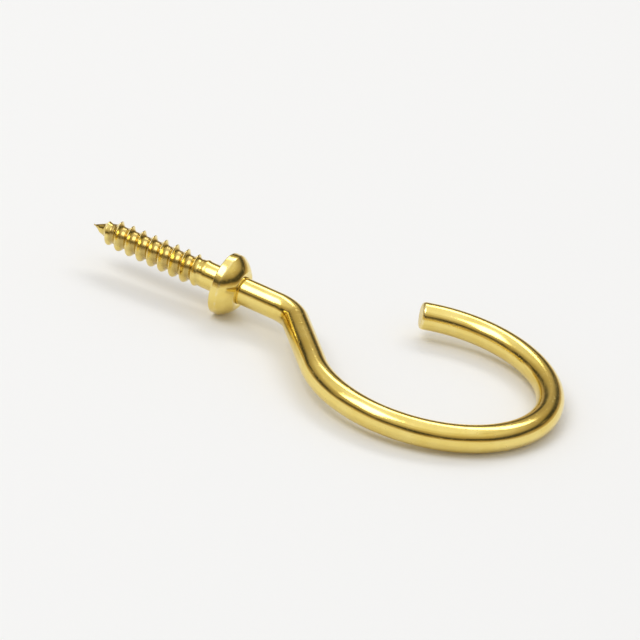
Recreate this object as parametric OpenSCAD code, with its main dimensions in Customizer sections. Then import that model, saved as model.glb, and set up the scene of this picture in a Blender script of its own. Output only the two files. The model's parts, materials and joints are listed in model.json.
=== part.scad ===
// Round cup hook: one length of wire with a wood screw rolled on one end and a round bow bent
// on the other, and a domed collar that is pressed onto its shank. The hook lies on its side,
// resting on the collar's rim and on the far side of the bow.
//
// The hook is drawn in its own plane first. X runs along the screw's axis towards the bow,
// X = 0 is the face that the collar seats on, and the bow lies in the plane Z = 0.

/* [Hook] */
// Projection, from the collar's seat to the far side of the bow
projection = 32; // [29.5:0.5:45]
// Diameter of the wire
wire_d = 2.4; // [2:0.1:3]
// Width inside the round bow
bow_inner_d = 18.4; // [14:0.2:20.4]
// Angle at which the neck bends away from the screw's axis
kink_angle = 50; // [42:1:60]
// Radius of the neck's bend, along the middle of the wire
kink_r = 3.2; // [2:0.1:4]
// Angle from the screw's axis round to the cut end of the bow
mouth_angle = 60; // [45:1:80]
// Rounding of the edge of the cut end
cut_round = 0.3; // [0.1:0.05:0.6]

/* [Screw] */
// Length of the screw below the collar's seat, with its point
screw_l = 13; // [10:0.5:20]
// Bare shank between the collar's seat and the thread
bare_l = 1.6; // [1:0.1:3]
// Pitch of the thread
pitch = 1.1; // [0.9:0.05:1.4]
// Depth of the thread
thread_depth = 0.45; // [0.3:0.05:0.6]
// How far the thread's crest stands out beyond the wire
crest_proud = 0.3; // [0.1:0.05:0.4]
// Length of the gimlet point
point_l = 2.6; // [2:0.1:4]
// Share of its radius that the screw loses from the collar to the point
screw_taper = 0.18; // [0:0.02:0.3]

/* [Collar] */
// Diameter of the collar's rim
collar_d = 5.5; // [5:0.1:7]
// Height of the collar
collar_h = 1.9; // [1.6:0.1:2.6]
// Height of the straight edge of the rim
rim_h = 0.7; // [0.4:0.1:1]
// Width of the flat land that the rim seats on
rim_w = 0.5; // [0.3:0.05:0.6]
// Width of the flat crown round the wire
crown_w = 0.45; // [0.2:0.05:0.6]
// Rounding between the crown and the dome
crown_round = 0.25; // [0.1:0.05:0.4]
// Rounding between the dome and the edge of the rim
shoulder_round = 0.4; // [0.2:0.05:0.6]
// Rounding of the rim's edge at the seat
seat_round = 0.12; // [0.05:0.01:0.2]
// Thickness of the collar at its crown
collar_wall = 0.5; // [0.4:0.05:0.7]
// Gap all round between the wire and the collar's hole
collar_gap = 0.02; // [0.01:0.01:0.05]

/* [Hidden] */
$fn = 96;

brass = [0.86, 0.72, 0.34];
pale_brass = [0.9, 0.78, 0.44];

// Wire and bow
wire_r = wire_d / 2;
bow_r = bow_inner_d / 2 + wire_r;
bow_x = projection - wire_r - bow_r;
touch_angle = 90 - kink_angle;
kink_x = bow_x - bow_r / cos(touch_angle);
kink_cut = kink_r * tan(kink_angle / 2);
leg_l = bow_r * tan(touch_angle);
bow_start = touch_angle - 180;
bow_turn = 360 - touch_angle - mouth_angle;
sink = 0.05;
hair = 0.01;

// Thread: its ridge is a root, a flank, a crest and a flank, as shares of the pitch
thread_l = screw_l - bare_l;
core_r = wire_r + crest_proud - thread_depth;
tip_r = 0.06;
first_z = 0.4 * pitch;
full_z = 1.7 * pitch;
run_out = 1.5 * pitch;
steps = 24;
ridge_at = [0, 0.38, 0.67, 0.75];
ridge_up = [0, 0, 1, 1];
turns = ceil(thread_l / pitch) + 1;

// Collar: the dome and the recess are both parts of a sphere centred on the axis, and roundings
// lead from the rim and the crown into the dome
rim_r = collar_d / 2;
crown_r = wire_r + crown_w;
hole_r = wire_r + collar_gap;
dome_z = (pow(rim_r, 2) - pow(crown_r, 2) + pow(rim_h, 2) - pow(collar_h, 2)) / (2 * (rim_h - collar_h));
dome_r = norm([rim_r, rim_h - dome_z]);
shoulder_x = rim_r - shoulder_round;
shoulder_z = dome_z + sqrt(pow(dome_r - shoulder_round, 2) - pow(shoulder_x, 2));
crown_z = collar_h - crown_round;
crown_x = sqrt(pow(dome_r - crown_round, 2) - pow(crown_z - dome_z, 2));
recess_h = collar_h - collar_wall;
recess_r = (pow(rim_r - rim_w, 2) + pow(recess_h, 2)) / (2 * recess_h);
over = 1;

// Balance of the hook, weighed as an even line of wire from the screw's point to the cut end
bow_l = bow_r * bow_turn * PI / 180;
bow_end = bow_start + bow_turn;
bow_mid_x = bow_x + bow_r * (sin(bow_end) - sin(bow_start)) * 180 / PI / bow_turn;
bow_mid_y = bow_r * (cos(bow_start) - cos(bow_end)) * 180 / PI / bow_turn;
leg_mid_x = kink_x + leg_l * cos(kink_angle) / 2;
leg_mid_y = -leg_l * sin(kink_angle) / 2;
line_l = screw_l + kink_x + leg_l + bow_l;
balance_x = (kink_x * kink_x / 2 - screw_l * screw_l / 2 + leg_l * leg_mid_x + bow_l * bow_mid_x) / line_l;
balance_y = (leg_l * leg_mid_y + bow_l * bow_mid_y) / line_l;

// Rest: the rim lifts the screw's end, and the heavier side of the bow leans down until the
// balance point is over the line from the rim to the spot where the bow touches
far_x = bow_x + bow_r;
tilt = atan2(rim_r, far_x - rim_h) - asin(wire_r / norm([rim_r, far_x - rim_h]));
touch_y = balance_y / (balance_x - rim_h) * (far_x - rim_h);
lean = -asin(tan(tilt) * tan(asin(touch_y / bow_r)));
lift = wire_r + bow_x * sin(tilt) + bow_r * norm([sin(tilt), sin(lean) * cos(tilt)]);
low_x = -screw_l * cos(tilt);
high_x = bow_x * cos(tilt) + bow_r * cos(tilt) + wire_r;

function part_of(z, from, to) = min(max((z - from) / (to - from), 0), 1);

// Radius of the screw's core at a height above the point, up to the end sunk in the shank
function core_at(z) =
    let (body = core_r * (1 - screw_taper * (1 - z / screw_l)),
         tip = sin(90 * part_of(z, 0, point_l)),
         end = part_of(z, thread_l - run_out, thread_l))
    max(tip_r, body * tip * (1 - end) + (wire_r - sink) * end);

// Height of the thread's ridge: it starts on the point and runs out into the bare shank
function ridge_of(z) =
    thread_depth * (1 - screw_taper * (1 - z / screw_l))
    * part_of(z, first_z, full_z) * part_of(z, thread_l, thread_l - run_out);

// One point of the spiral line that has a given share of the pitch
function spiral(i, line) =
    let (z = pitch * (i / steps + ridge_at[line]), turn = 360 * i / steps,
         r = core_at(z) + ridge_up[line] * ridge_of(z))
    [r * cos(turn), r * sin(turn), z];

// The threaded screw stands on its point: four spiral lines run up it side by side
module screw() {
    lines = len(ridge_at);
    last = turns * steps;
    points = [for (i = [0:last]) for (line = [0:lines - 1]) spiral(i, line)];
    point = len(points);
    top = point + 1;
    start_loop = concat([for (i = [0:steps]) lines * i], [for (line = [lines - 1:-1:1]) line]);
    end_loop = concat([for (i = [last - steps:last]) lines * i + lines - 1],
                      [for (line = [lines - 2:-1:0]) lines * last + line]);
    faces = concat(
        [for (i = [0:last - 1]) for (line = [0:lines - 2])
            let (a = lines * i + line, b = a + lines)
            each [[a, b + 1, b], [a, a + 1, b + 1]]],
        [for (i = [0:last - steps - 1])
            let (a = lines * i + lines - 1, b = a + lines, c = lines * (i + steps))
            each [[a, c + lines, b], [a, c, c + lines]]],
        [for (i = [0:len(start_loop) - 1])
            [start_loop[i], start_loop[(i + 1) % len(start_loop)], point]],
        [for (i = [0:len(end_loop) - 1])
            [end_loop[(i + 1) % len(end_loop)], end_loop[i], top]]);
    polyhedron(concat(points, [[0, 0, -tip_r], [0, 0, pitch * (turns + ridge_at[1])]]), faces);
}

// A straight length of wire, and then what follows it
module straight(length) {
    rotate([0, 90, 0]) cylinder(d = wire_d, h = length);
    translate([length, 0, 0]) children();
}

// A bend to the left through an angle, or to the right if the angle is negative, and then what follows it
module bend(radius, turn) {
    side = sign(turn);
    translate([0, side * radius, 0]) {
        rotate_extrude(angle = turn, start = -90 * side) translate([radius, 0]) circle(d = wire_d);
        rotate(turn) translate([0, -side * radius, 0]) children();
    }
}

// The cut end of the wire, with its edge rounded. It starts inside the bow, a hair thinner.
module cut_end() {
    r = wire_r - hair;
    translate([-sink, 0, 0]) rotate([0, 90, 0]) rotate_extrude() {
        square([r, sink]);
        translate([0, sink]) {
            square([r - cut_round, cut_round]);
            intersection() {
                translate([r - cut_round, 0]) circle(r = cut_round);
                square(wire_r);
            }
        }
    }
}

// The wire, followed from the bare shank through the neck and the bow to its cut end
module wire() {
    translate([-bare_l, 0, 0])
        straight(bare_l + kink_x - kink_cut)
        bend(kink_r, -kink_angle)
        straight(leg_l - kink_cut)
        bend(bow_r, bow_turn)
        cut_end();
}

// Lays the hook on its side, with the middle of its outline over the origin
module at_rest() {
    translate([-(low_x + high_x) / 2, 0, lift]) rotate([lean, tilt, 0]) children();
}

module hook() {
    color(brass) at_rest() {
        wire();
        translate([-screw_l, 0, 0]) rotate([0, 90, 0]) screw();
    }
}

// Section of the collar with its seat down, on one side of its axis. The roundings of the shoulder
// and the crown touch the dome where lines from its centre pass through their own centres.
module collar_section() {
    difference() {
        union() {
            square([rim_r - seat_round, shoulder_z]);
            translate([rim_r - seat_round, seat_round]) circle(r = seat_round);
            translate([0, seat_round]) square([rim_r, shoulder_z - seat_round]);
            translate([shoulder_x, shoulder_z]) circle(r = shoulder_round);
            intersection() {
                translate([0, dome_z]) circle(r = dome_r);
                square([shoulder_x * dome_r / (dome_r - shoulder_round),
                        dome_z + (crown_z - dome_z) * dome_r / (dome_r - crown_round)]);
            }
            translate([crown_x, crown_z]) circle(r = crown_round);
            square([crown_x, collar_h]);
        }
        translate([0, recess_h - recess_r]) circle(r = recess_r);
        translate([0, -over]) square([hole_r, collar_h + 2 * over]);
    }
}

module collar() {
    color(pale_brass) at_rest() rotate([0, 90, 0]) rotate_extrude() collar_section();
}

hook();
collar();
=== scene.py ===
import json
import math

import bpy
import numpy as np
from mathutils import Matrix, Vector


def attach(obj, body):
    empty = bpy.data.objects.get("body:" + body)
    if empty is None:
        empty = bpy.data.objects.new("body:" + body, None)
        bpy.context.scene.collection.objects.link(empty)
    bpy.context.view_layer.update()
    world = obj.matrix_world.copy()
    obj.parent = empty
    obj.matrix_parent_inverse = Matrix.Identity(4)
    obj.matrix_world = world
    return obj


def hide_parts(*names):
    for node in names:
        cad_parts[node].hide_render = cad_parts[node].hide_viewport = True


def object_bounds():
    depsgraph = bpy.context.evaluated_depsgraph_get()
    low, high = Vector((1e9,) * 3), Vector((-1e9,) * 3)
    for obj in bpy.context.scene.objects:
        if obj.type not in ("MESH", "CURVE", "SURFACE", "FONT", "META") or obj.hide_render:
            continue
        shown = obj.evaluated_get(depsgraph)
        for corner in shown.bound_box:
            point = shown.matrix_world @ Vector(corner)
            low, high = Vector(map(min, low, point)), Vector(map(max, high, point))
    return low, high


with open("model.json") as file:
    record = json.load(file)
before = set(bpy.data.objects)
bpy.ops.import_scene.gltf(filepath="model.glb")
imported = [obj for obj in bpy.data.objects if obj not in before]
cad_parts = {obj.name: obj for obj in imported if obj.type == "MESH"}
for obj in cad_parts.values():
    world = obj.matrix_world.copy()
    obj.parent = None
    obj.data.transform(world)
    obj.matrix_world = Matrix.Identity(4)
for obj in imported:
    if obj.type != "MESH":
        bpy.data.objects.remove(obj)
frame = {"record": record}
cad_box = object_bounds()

# Sizes of the hook, in metres and radians
MM = 0.001
WIRE_R = 1.2 * MM
KINK_TURN = math.radians(50)
KINK_R = 3.2 * MM
MOUTH_ANGLE = math.radians(60)
CUT_ROUND = 0.3 * MM

# Sizes of the screw
SCREW_L = 13.0 * MM
BARE_L = 1.6 * MM
PITCH = 1.1 * MM
THREAD_DEPTH = 0.45 * MM
CREST_PROUD = 0.3 * MM
POINT_L = 2.6 * MM
POINT_R = 0.06 * MM
SCREW_TAPER = 0.18
THREAD_START = 0.4 * PITCH
THREAD_FULL = 1.7 * PITCH
RUN_OUT = 1.5 * PITCH
# How far from the point the screw is darker all round
TIP_DARKENED = 0.9 * MM

# Form of the thread's ridge and groove, in shares of the pitch and as powers
CREST_AT = 0.71
CREST_ROUND = 0.03
RIDGE_HALF = 0.36
RIDGE_HOLLOW = 1.8
GROOVE_NARROWED = 1.6
GROOVE_FADE = 1.5

# Sizes of the collar
RIM_R = 2.75 * MM
COLLAR_H = 1.9 * MM
RIM_H = 0.7 * MM
RIM_W = 0.5 * MM
CROWN_W = 0.45 * MM
CROWN_ROUND = 0.25 * MM
SHOULDER_ROUND = 0.4 * MM
SEAT_ROUND = 0.12 * MM
COLLAR_WALL = 0.5 * MM
COLLAR_GAP = 0.02 * MM
EDGE_BREAK = 0.03 * MM
# Edges that turn over a smaller radius than this take the full painted highlight
HIGHLIGHT_RADIUS = 0.25 * MM

# Fineness of the meshes
AROUND = 96
THREAD_STEP = 0.028 * MM
STRAIGHT_STEP = 0.3 * MM
BEND_STEP = math.radians(1.4)
CUT_STEPS = 9
CUT_RINGS = (0.66, 0.33)
COLLAR_AROUND = 160
EDGE_STEPS = 8
DOME_STEPS = 22
RECESS_STEPS = 26

# Colours of the brass
DEEP_BRASS = (0.865, 0.67, 0.185, 1)
LEMON_BRASS = (0.915, 0.74, 0.25, 1)
# Painted shade for the grooves between the threads, also used towards the point
PAINTED_GROOVE_SHADE = (0.46, 0.33, 0.11, 1)
SHEARED_BRASS = (0.56, 0.43, 0.17, 1)
# Painted highlight for edges and thread crests
PAINTED_EDGE_HIGHLIGHT = (0.95, 0.83, 0.5, 1)

# Marks of the plating: how many to the metre, how much finer detail they have and how rough that is
LINES = (9000, 3.0, 0.6)
WAVES = (420, 1.0)
MOTTLE = (450, 3.0, 0.55)
ORANGE_PEEL = (2600, 2.0)
PITS = (3800, 1.0)
SHEAR_MARKS = (6500, 3.0, 0.65)
# The patches in which the painted highlight on edges and crests shows
HIGHLIGHT_PATCHES = (1500, 3.0, 0.7)

# Shares of their closeness that some marks keep where they are drawn out, along the wire or across its cut end
LINES_DRAWN = (1, 1, 0.05)
WAVES_DRAWN = (1, 1, 0.35)
SHEAR_DRAWN = (1, 0.1, 1)

# Where a mark starts to show in its unevenness, and where it shows in full
MOTTLE_SHOWS = (0.3, 0.72)
PITS_SHOW = (0.66, 0.74)
SHEAR_SHOWS = (0.32, 0.7)
HIGHLIGHT_PATCHES_SHOW = (0.35, 0.62)

# How much of its colour each mark gives, the painted groove shade and edge highlight among them, and how much
# more the mottle adds to the shade in the grooves
GROOVE_SHADE_SHARE = 0.6
GROOVE_SHADE_MOTTLED = 0.5
SHEARED_COLOURED = 0.65
EDGE_HIGHLIGHT_SHARE = 0.7

# How rough and how high each mark makes the plating, and where the sheared end begins beyond the wire
ROUGHNESS = {"lines": 0.06, "mottle": 0.12, "pits": 0.12, "groove": 0.14, "sheared": 0.16, "rubbed": 0.08}
LEAST_ROUGHNESS = 0.06
HEIGHTS = {"lines": 0.25, "orange_peel": 0.5, "waves": 4.0, "pits": -0.4, "shear_marks": 5.0}
BUMP_STRENGTH = 0.35
BUMP_DEPTH = 0.012 * MM
SHEAR_FROM = 0.15 * MM
SHEAR_TO = 0.28 * MM

# The wall round the hook: its distance, its angles in degrees, and its shades from the floor upwards
WALL_DISTANCE = 1.1
WALL_ANGLES = (1, 62)
WALL_SIDES = 64
WALL_SHADES = [
    (0.0, (0.8, 0.72, 0.6, 1)),
    (0.12, (0.44, 0.33, 0.2, 1)),
    (0.17, (0.4, 0.3, 0.18, 1)),
    (0.24, (0.05, 0.047, 0.038, 1)),
    (0.375, (0.05, 0.05, 0.042, 1)),
    (0.45, (0.4, 0.33, 0.22, 1)),
    (0.56, (0.52, 0.45, 0.32, 1)),
    (0.7, (0.82, 0.76, 0.62, 1)),
    (0.85, (0.8, 0.77, 0.68, 1)),
    (1.0, (0.97, 0.97, 0.96, 1)),
]

# How the wall's shades wander up and down, and its warm patches
WALL_WAVES = (2.2, 1.0)
WALL_WANDER = 0.22
PATCH_WARM = (0.6, 0.48, 0.3, 1)
PATCHES = (9.0, 2.0)
PATCHES_SHOW = (0.55, 0.68)
PATCHES_COLOURED = 0.5

# The floor and the world
FLOOR_COLOUR = (0.93, 0.93, 0.925)
FLOOR_ROUGHNESS = 0.7
FLOOR_REACH = 3
WORLD_LIGHT = 0.6

# The lamps, with angles in degrees and the power in watts
SOFTBOXES = {
    "key": {"azimuth": -40, "elevation": 60, "distance": 0.9, "width": 0.5, "height": 0.5, "power": 2.4},
    "back": {"azimuth": 190, "elevation": 50, "distance": 0.9, "width": 0.7, "height": 0.25, "power": 1.6},
}

# The camera, with its angles in degrees
VIEW_AZIMUTH = 22.5
VIEW_ELEVATION = 26
VIEW_ROLL = 11
VIEW_DISTANCE = 0.5
VIEW_RANGE = (0.01, 20)
LENS = 330

MOUNTS = {m["name"]: m for m in frame["record"]["mounts"]}


# Shader arithmetic

class Signal:
    """One output socket of a material, with arithmetic that adds Math nodes."""

    def __init__(self, graph, socket):
        self.graph = graph
        self.socket = socket

    def math(self, operation, *others):
        return self.graph.add("ShaderNodeMath", {"operation": operation}, dict(enumerate((self, *others))))

    def flipped(self, operation, other):
        return self.graph.add("ShaderNodeMath", {"operation": operation}, {0: other, 1: self})

    def __add__(self, other):
        return self.math("ADD", other)

    def __sub__(self, other):
        return self.math("SUBTRACT", other)

    def __mul__(self, other):
        return self.math("MULTIPLY", other)

    def __rsub__(self, other):
        return self.flipped("SUBTRACT", other)

    __radd__ = __add__
    __rmul__ = __mul__


class Graph:
    """The nodes of one material or of the world."""

    def __init__(self, tree):
        self.tree = tree
        tree.nodes.clear()

    def add(self, kind, settings=None, sockets=None, output=0):
        """A new node: its settings first, and then the values or links of its sockets."""
        node = self.tree.nodes.new(kind)
        for name, value in (settings or {}).items():
            if name == "stops":
                self.set_stops(node.color_ramp, value)
            else:
                setattr(node, name, value)
        for key, value in (sockets or {}).items():
            if isinstance(value, Signal):
                self.tree.links.new(value.socket, node.inputs[key])
            else:
                node.inputs[key].default_value = value
        return Signal(self, node.outputs[output]) if node.outputs else None

    @staticmethod
    def set_stops(ramp, stops):
        while len(ramp.elements) > 1:
            ramp.elements.remove(ramp.elements[-1])
        ramp.elements[0].position, ramp.elements[0].color = stops[0]
        for place, colour in stops[1:]:
            ramp.elements.new(place).color = colour

    def noise(self, vector, scale, detail=2.0, roughness=0.5):
        return self.add("ShaderNodeTexNoise", None,
                        {"Vector": vector, "Scale": scale, "Detail": detail, "Roughness": roughness})

    def scaled(self, vector, factors):
        return self.add("ShaderNodeVectorMath", {"operation": "MULTIPLY"}, {0: vector, 1: factors})

    def fade(self, value, start, end):
        """A soft step from 0 to 1 between two values."""
        return self.add("ShaderNodeMapRange", {"interpolation_type": "SMOOTHSTEP"},
                        {0: value, 1: start, 2: end, 3: 0.0, 4: 1.0})

    def mix(self, factor, a, b):
        return self.add("ShaderNodeMix", {"data_type": "RGBA"}, {0: factor, 6: a, 7: b}, output=2)


def material(name):
    made = bpy.data.materials.new(name)
    made.use_nodes = True
    return made, Graph(made.node_tree)


def brass_plating(name, cut_at):
    """Bright brass plating over drawn wire: rougher and darkened with painted shade in the grooves, duller on
    the sheared end, and paler on edges and thread crests with a painted highlight.

    The attribute "straight" gives the place on the unbent wire, with Z along it, which is cut off at cut_at.
    One mask is 1 on edges and thread crests, where the highlight is painted, and "groove" is 1 between the
    threads and towards the point, where the shade is painted.
    """
    made, g = material(name)
    place = g.add("ShaderNodeAttribute", {"attribute_name": "straight"}, output=1)
    edge = g.add("ShaderNodeAttribute", {"attribute_name": "rubbed"}, output=2)
    groove = g.add("ShaderNodeAttribute", {"attribute_name": "groove"}, output=2)
    along = g.add("ShaderNodeSeparateXYZ", None, {"Vector": place}, output="Z")
    sheared = g.fade(along, cut_at + SHEAR_FROM, cut_at + SHEAR_TO)

    mottle = g.noise(place, *MOTTLE)
    shear_marks = g.noise(g.scaled(place, SHEAR_DRAWN), *SHEAR_MARKS)
    marks = {
        "lines": g.noise(g.scaled(place, LINES_DRAWN), *LINES),
        "waves": g.noise(g.scaled(place, WAVES_DRAWN), *WAVES),
        "mottle": mottle,
        "orange_peel": g.noise(place, *ORANGE_PEEL),
        "pits": g.fade(g.noise(place, *PITS), *PITS_SHOW),
        "groove": groove,
        "sheared": sheared,
        "shear_marks": shear_marks * sheared,
        "rubbed": edge * g.fade(g.noise(place, *HIGHLIGHT_PATCHES), *HIGHLIGHT_PATCHES_SHOW),
    }

    colour = g.mix(g.fade(mottle, *MOTTLE_SHOWS), DEEP_BRASS, LEMON_BRASS)
    # Painted shade darkens the grooves between the threads
    colour = g.mix(groove * (mottle * GROOVE_SHADE_MOTTLED + GROOVE_SHADE_SHARE), colour, PAINTED_GROOVE_SHADE)
    colour = g.mix(sheared * g.fade(shear_marks, *SHEAR_SHOWS) * SHEARED_COLOURED, colour, SHEARED_BRASS)
    # Painted highlight, in patches, on edges and thread crests
    colour = g.mix(marks["rubbed"] * EDGE_HIGHLIGHT_SHARE, colour, PAINTED_EDGE_HIGHLIGHT)
    rough = sum((marks[mark] * share for mark, share in ROUGHNESS.items()), LEAST_ROUGHNESS)
    height = sum(marks[mark] * share for mark, share in HEIGHTS.items())
    bump = g.add("ShaderNodeBump", None, {
        "Strength": BUMP_STRENGTH, "Distance": BUMP_DEPTH, "Height": height})
    shader = g.add("ShaderNodeBsdfPrincipled", None, {
        "Base Color": colour, "Metallic": 1.0, "Roughness": rough, "Normal": bump})
    g.add("ShaderNodeOutputMaterial", None, {"Surface": shader})
    return made


def shaded_wall(name):
    """A dim glow: pale at the wall's edges, with an uneven dark band between gold ones, and warm patches."""
    made, g = material(name)
    place = g.add("ShaderNodeTexCoord", output="Generated")
    height = g.add("ShaderNodeSeparateXYZ", None, {"Vector": place}, output="Z")
    wander = g.noise(place, *WALL_WAVES) - 0.5
    shades = g.add("ShaderNodeValToRGB", {"stops": WALL_SHADES}, {0: height + wander * WALL_WANDER})
    patches = g.fade(g.noise(place, *PATCHES), *PATCHES_SHOW)
    colour = g.mix(patches * PATCHES_COLOURED, shades, PATCH_WARM)
    light = g.add("ShaderNodeEmission", None, {"Color": colour, "Strength": 1.0})
    g.add("ShaderNodeOutputMaterial", None, {"Surface": light})
    return made


def plain(name, colour, roughness):
    made, g = material(name)
    shader = g.add("ShaderNodeBsdfPrincipled", None, {"Base Color": (*colour, 1), "Roughness": roughness})
    g.add("ShaderNodeOutputMaterial", None, {"Surface": shader})
    return made


# The hook's own frame, read from the mounts: X along the screw's axis, Z out of the bow's plane

SEAT = Vector(MOUNTS["screw_thread"]["pos_m"])
AXIS_X = -Vector(MOUNTS["screw_thread"]["axis"]).normalized()
AXIS_Z = Vector(MOUNTS["bow"]["axis"]).normalized()
AXIS_Y = AXIS_Z.cross(AXIS_X).normalized()
BOW_X = (Vector(MOUNTS["bow"]["pos_m"]) - SEAT).length
BOW_R = MOUNTS["bow"]["dims"]["r_mm"] * MM + WIRE_R


def in_model_frame(points):
    """Points given in the hook's own frame, as points of the whole model."""
    turn = np.array([AXIS_X, AXIS_Y, AXIS_Z])
    return np.asarray(points) @ turn + np.array(SEAT)


def mesh_piece(name, points, faces, straight, masks, finish):
    """A smooth mesh that keeps, at each point, its place on the unbent wire and the masks of its finish."""
    mesh = bpy.data.meshes.new(name)
    mesh.from_pydata(in_model_frame(points).tolist(), [], faces)
    mesh.validate()
    kept = mesh.attributes.new("straight", "FLOAT_VECTOR", "POINT")
    kept.data.foreach_set("vector", np.asarray(straight, dtype=np.float32).ravel())
    for mask, values in masks.items():
        kept = mesh.attributes.new(mask, "FLOAT", "POINT")
        kept.data.foreach_set("value", np.asarray(values, dtype=np.float32).ravel())
    mesh.polygons.foreach_set("use_smooth", [True] * len(mesh.polygons))
    mesh.materials.append(finish)
    piece = bpy.data.objects.new(name, mesh)
    bpy.context.scene.collection.objects.link(piece)
    return piece


def grid_faces(rows, around):
    """Quads between each row of a tube and the next, for rows of points that run round it."""
    faces = []
    for i in range(rows - 1):
        for j in range(around):
            k = (j + 1) % around
            faces.append((i * around + j, i * around + k, (i + 1) * around + k, (i + 1) * around + j))
    return faces


# The wire with its screw

def part_of(value, start, end):
    return np.clip((value - start) / (end - start), 0.0, 1.0)


def screw_surface(along, angle):
    """The screw's radius by distance from its point and angle, with the masks of its painted crest highlight
    and painted groove shade.
    """
    taper = 1 - SCREW_TAPER * (1 - along / SCREW_L)
    thread_l = SCREW_L - BARE_L
    point = np.sin(part_of(along, 0, POINT_L) * math.pi / 2)
    shank = part_of(along, thread_l - RUN_OUT, thread_l)
    shank = shank * shank * (3 - 2 * shank)
    core = (WIRE_R + CREST_PROUD - THREAD_DEPTH) * taper * point * (1 - shank) + WIRE_R * shank
    # The quarter turn brings the crest to where the solid screw has it
    phase = (along / PITCH - (angle + math.pi / 2) / (2 * math.pi)) % 1.0
    from_crest = np.sqrt(np.minimum(abs(phase - CREST_AT), 1 - abs(phase - CREST_AT)) ** 2 + CREST_ROUND ** 2)
    ridge = np.maximum(1 - (from_crest - CREST_ROUND) / RIDGE_HALF, 0) ** RIDGE_HOLLOW
    grown = part_of(along, THREAD_START, THREAD_FULL) * part_of(-along, -thread_l, RUN_OUT - thread_l)
    radius = np.maximum(core + ridge * grown * THREAD_DEPTH * taper, POINT_R)
    # Near the point the screw is darker all round, in the grooves' colour, and its crests lose the painted
    # highlight
    darker_tip = part_of(-along, -TIP_DARKENED, 0)
    groove = np.maximum(grown * (1 - np.minimum(ridge * GROOVE_NARROWED, 1)) ** GROOVE_FADE, darker_tip)
    return radius, (ridge * grown) ** 2 * (1 - darker_tip), groove


def stretch_steps(length, step):
    return np.linspace(0, length, max(2, math.ceil(length / step) + 1))


def wire_rows():
    """Where each ring of the wire has its middle, which way it faces, and how far it is from the point."""
    leg_turn = math.pi / 2 - KINK_TURN
    kink_x = BOW_X - BOW_R / math.cos(leg_turn)
    cut = KINK_R * math.tan(KINK_TURN / 2)
    leg = BOW_R * math.tan(leg_turn) - cut
    bow_turn = 2 * math.pi - leg_turn - MOUTH_ANGLE
    stretches = [(SCREW_L - BARE_L, 0, THREAD_STEP), (BARE_L + kink_x - cut, 0, STRAIGHT_STEP),
                 (KINK_TURN * KINK_R, -1 / KINK_R, BEND_STEP * KINK_R), (leg, 0, STRAIGHT_STEP),
                 (bow_turn * BOW_R, 1 / BOW_R, BEND_STEP * BOW_R)]
    place, heading, travelled = np.array([-SCREW_L, 0.0]), 0.0, 0.0
    middles, headings, distances = [place], [heading], [travelled]
    for length, curve, step in stretches:
        for run in stretch_steps(length, step)[1:]:
            if curve:
                turned = heading + run * curve
                chord = np.array([math.sin(turned) - math.sin(heading), math.cos(heading) - math.cos(turned)])
                middles.append(place + chord / curve)
            else:
                turned = heading
                middles.append(place + run * np.array([math.cos(heading), math.sin(heading)]))
            headings.append(turned)
            distances.append(travelled + run)
        place, heading, travelled = middles[-1], headings[-1], distances[-1]
    return np.array(middles), np.array(headings), np.array(distances)


def make_hook(finish):
    middles, headings, distances = wire_rows()
    angles = np.arange(AROUND) * 2 * math.pi / AROUND
    forward = np.stack([np.cos(headings), np.sin(headings)], axis=1)
    on_screw = (distances < SCREW_L - BARE_L)[:, None]
    # The masks of the painted highlight on the thread's crests and of the painted shade in its grooves
    radii, rubbed, groove = screw_surface(distances[:, None], angles[None, :])
    radii = np.where(on_screw, radii, WIRE_R)
    rubbed = np.where(on_screw, rubbed, 0.0)
    groove = np.where(on_screw, groove, 0.0)

    # The edge of the cut end is rounded and takes the painted highlight, and its face is flat
    cap = [(CUT_ROUND * math.sin(t), WIRE_R - CUT_ROUND * (1 - math.cos(t)), math.sin(2 * t))
           for t in np.linspace(0, math.pi / 2, CUT_STEPS)[1:]]
    cap += [(CUT_ROUND, (WIRE_R - CUT_ROUND) * share, 0) for share in CUT_RINGS]
    for ahead, radius, edge in cap:
        middles = np.vstack([middles, middles[len(headings) - 1] + forward[len(headings) - 1] * ahead])
        radii = np.vstack([radii, np.full(AROUND, radius)])
        rubbed = np.vstack([rubbed, np.full(AROUND, edge)])
        groove = np.vstack([groove, np.zeros(AROUND)])
    last = np.full(len(cap), headings[-1])
    headings = np.concatenate([headings, last])
    distances = np.concatenate([distances, distances[-1] + np.array([ahead for ahead, _, _ in cap])])
    left = np.stack([-np.sin(headings), np.cos(headings)], axis=1)

    side = radii * np.cos(angles)
    up = radii * np.sin(angles)
    flat = middles[:, None, :] + left[:, None, :] * side[:, :, None]
    points = np.concatenate([flat, up[:, :, None]], axis=2).reshape(-1, 3)
    straight = np.stack([side, up, np.broadcast_to(distances[:, None], side.shape)], axis=2).reshape(-1, 3)

    rows = len(headings)
    faces = grid_faces(rows, AROUND)
    point = len(points)
    end = middles[-1]
    points = np.vstack([points, [-SCREW_L - POINT_R, 0, 0], [*end, 0]])
    straight = np.vstack([straight, [0, 0, -POINT_R], [0, 0, distances[-1]]])
    masks = {"rubbed": np.append(rubbed, [0, 0]), "groove": np.append(groove, [1, 0])}
    for j in range(AROUND):
        k = (j + 1) % AROUND
        faces.append((point, k, j))
        faces.append((point + 1, (rows - 1) * AROUND + j, (rows - 1) * AROUND + k))
    return mesh_piece("hook_wire", points, faces, straight, masks, finish)


# The collar

def arc(centre_h, centre_r, radius, start, end, steps):
    """Points of a round stretch of the section, as height and radius, between two angles off the axis."""
    return [(centre_h + radius * math.cos(t), centre_r + radius * math.sin(t))
            for t in np.linspace(start, end, steps)]


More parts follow.
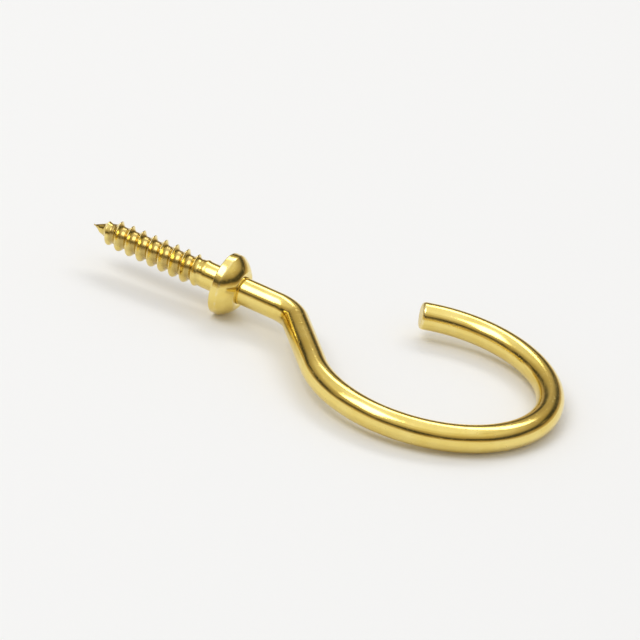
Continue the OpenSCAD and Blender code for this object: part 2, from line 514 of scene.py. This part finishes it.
def collar_profile():
    """The collar's section: out over crown, dome and rim, and back through the recess to the hole."""
    crown_r = WIRE_R + CROWN_W
    hole_r = WIRE_R + COLLAR_GAP
    dome_z = (RIM_R ** 2 - crown_r ** 2 + RIM_H ** 2 - COLLAR_H ** 2) / (2 * (RIM_H - COLLAR_H))
    dome_r = math.hypot(RIM_R, RIM_H - dome_z)
    shoulder_r = RIM_R - SHOULDER_ROUND
    shoulder_lean = math.asin(shoulder_r / (dome_r - SHOULDER_ROUND))
    shoulder_z = dome_z + (dome_r - SHOULDER_ROUND) * math.cos(shoulder_lean)
    crown_z = COLLAR_H - CROWN_ROUND
    crown_lean = math.acos((crown_z - dome_z) / (dome_r - CROWN_ROUND))
    crown_x = (dome_r - CROWN_ROUND) * math.sin(crown_lean)
    recess_h = COLLAR_H - COLLAR_WALL
    land_r = RIM_R - RIM_W
    recess_r = (land_r ** 2 + recess_h ** 2) / (2 * recess_h)
    recess_z = recess_h - recess_r
    quarter = math.pi / 2
    profile = [(COLLAR_H - EDGE_BREAK, hole_r), (COLLAR_H, hole_r + EDGE_BREAK)]
    profile += arc(crown_z, crown_x, CROWN_ROUND, 0, crown_lean, EDGE_STEPS)
    profile += arc(dome_z, 0, dome_r, crown_lean, shoulder_lean, DOME_STEPS)[1:-1]
    profile += arc(shoulder_z, shoulder_r, SHOULDER_ROUND, shoulder_lean, quarter, EDGE_STEPS)
    profile += arc(SEAT_ROUND, RIM_R - SEAT_ROUND, SEAT_ROUND, quarter, 2 * quarter, EDGE_STEPS)
    profile += [(0, land_r + EDGE_BREAK), (EDGE_BREAK, land_r - EDGE_BREAK / 2)]
    profile += arc(recess_z, 0, recess_r, math.asin(land_r / recess_r), math.asin(hole_r / recess_r),
                   RECESS_STEPS)[1:]
    return np.array(profile)


def edge_highlight(profile):
    """How much painted highlight each point of a closed section takes: 1 where it turns outward over a small
    radius.
    """
    before = profile - np.roll(profile, 1, axis=0)
    after = np.roll(profile, -1, axis=0) - profile
    cross = before[:, 0] * after[:, 1] - before[:, 1] * after[:, 0]
    turn = np.arctan2(cross, (before * after).sum(axis=1))
    length = (np.linalg.norm(before, axis=1) + np.linalg.norm(after, axis=1)) / 2
    return np.clip(turn / length * HIGHLIGHT_RADIUS, 0, 1)


def make_collar(finish):
    profile = collar_profile()
    angles = np.arange(COLLAR_AROUND) * 2 * math.pi / COLLAR_AROUND
    height = np.broadcast_to(profile[:, :1], (len(profile), COLLAR_AROUND))
    side = profile[:, 1:] * np.cos(angles)
    up = profile[:, 1:] * np.sin(angles)
    points = np.stack([height, side, up], axis=2).reshape(-1, 3)
    faces = grid_faces(len(profile), COLLAR_AROUND)
    last = (len(profile) - 1) * COLLAR_AROUND
    for j in range(COLLAR_AROUND):
        k = (j + 1) % COLLAR_AROUND
        faces.append((last + j, last + k, k, j))
    straight = np.stack([side, up, height], axis=2).reshape(-1, 3)
    # The collar's outward edges take the painted highlight, and it has no painted groove shade
    masks = {"rubbed": np.broadcast_to(edge_highlight(profile)[:, None], height.shape),
             "groove": np.zeros(height.shape)}
    return mesh_piece("pressed_collar", points, [f[::-1] for f in faces], straight, masks, finish)


# The studio

def aim(piece, place, target):
    piece.location = place
    piece.rotation_euler = (Vector(target) - Vector(place)).to_track_quat("-Z", "Y").to_euler()


def around(centre, azimuth, elevation, distance):
    """The place at a distance from the centre from which a camera at these angles would look at it."""
    a, e = math.radians(azimuth), math.radians(elevation)
    away = Vector((math.sin(a) * math.cos(e), -math.cos(a) * math.cos(e), math.sin(e)))
    return Vector(centre) + distance * away


def softbox(name, target, azimuth, elevation, distance, width, height, power):
    lamp = bpy.data.lights.new(name, "AREA")
    lamp.shape = "RECTANGLE"
    lamp.size, lamp.size_y, lamp.energy = width, height, power
    made = bpy.data.objects.new(name, lamp)
    bpy.context.scene.collection.objects.link(made)
    aim(made, around(target, azimuth, elevation, distance), target)


def stage_piece(name, corners, faces, finish):
    mesh = bpy.data.meshes.new(name)
    mesh.from_pydata(corners, [], faces)
    mesh.materials.append(finish)
    made = bpy.data.objects.new(name, mesh)
    bpy.context.scene.collection.objects.link(made)
    return made


def low_wall(name, centre, finish):
    """A wall all round the hook, between two angles above the floor, seen only in the metal's reflections."""
    corners = [around(centre, i * 360 / WALL_SIDES, angle, WALL_DISTANCE)
               for i in range(WALL_SIDES) for angle in WALL_ANGLES]
    ring = 2 * WALL_SIDES
    faces = [(2 * i, 2 * i + 1, (2 * i + 3) % ring, (2 * i + 2) % ring) for i in range(WALL_SIDES)]
    wall = stage_piece(name, corners, faces, finish)
    wall.visible_camera = wall.visible_diffuse = wall.visible_shadow = False


def make_floor():
    reach = FLOOR_REACH
    corners = [(-reach, -reach, 0), (reach, -reach, 0), (reach, reach, 0), (-reach, reach, 0)]
    stage_piece("floor", corners, [(0, 1, 2, 3)], plain("pale_floor", FLOOR_COLOUR, FLOOR_ROUGHNESS))


def make_world():
    world = bpy.data.worlds.new("studio")
    world.use_nodes = True
    bpy.context.scene.world = world
    g = Graph(world.node_tree)
    seen, shiny, clear = (g.add("ShaderNodeLightPath", output=name)
                          for name in ("Is Camera Ray", "Is Glossy Ray", "Is Transmission Ray"))
    shown = (seen + shiny + clear).math("MINIMUM", 1.0)
    strength = shown * (1 - WORLD_LIGHT) + WORLD_LIGHT
    light = g.add("ShaderNodeBackground", None, {"Color": (1, 1, 1, 1), "Strength": strength})
    g.add("ShaderNodeOutputWorld", None, {"Surface": light})


def make_camera(centre):
    data = bpy.data.cameras.new("camera")
    data.lens = LENS
    data.clip_start, data.clip_end = VIEW_RANGE
    camera = bpy.data.objects.new("camera", data)
    bpy.context.scene.collection.objects.link(camera)
    aim(camera, around(centre, VIEW_AZIMUTH, VIEW_ELEVATION, VIEW_DISTANCE), centre)
    camera.rotation_euler.rotate_axis("Z", math.radians(VIEW_ROLL))
    bpy.context.scene.camera = camera


wire_end = wire_rows()[2][-1]
plating = brass_plating("brass_plating", float(wire_end))
for piece, node in ((make_hook(plating), "hook"), (make_collar(plating), "collar")):
    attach(piece, "root")
    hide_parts(node)

low, high = (Vector(corner) for corner in cad_box)
middle = (low + high) / 2
make_floor()
make_world()
make_camera(middle)
for name, lamp in SOFTBOXES.items():
    softbox(name, middle, **lamp)
low_wall("low_wall", middle, shaded_wall("shaded_wall"))

scene = bpy.context.scene
scene.view_settings.view_transform = "Standard"
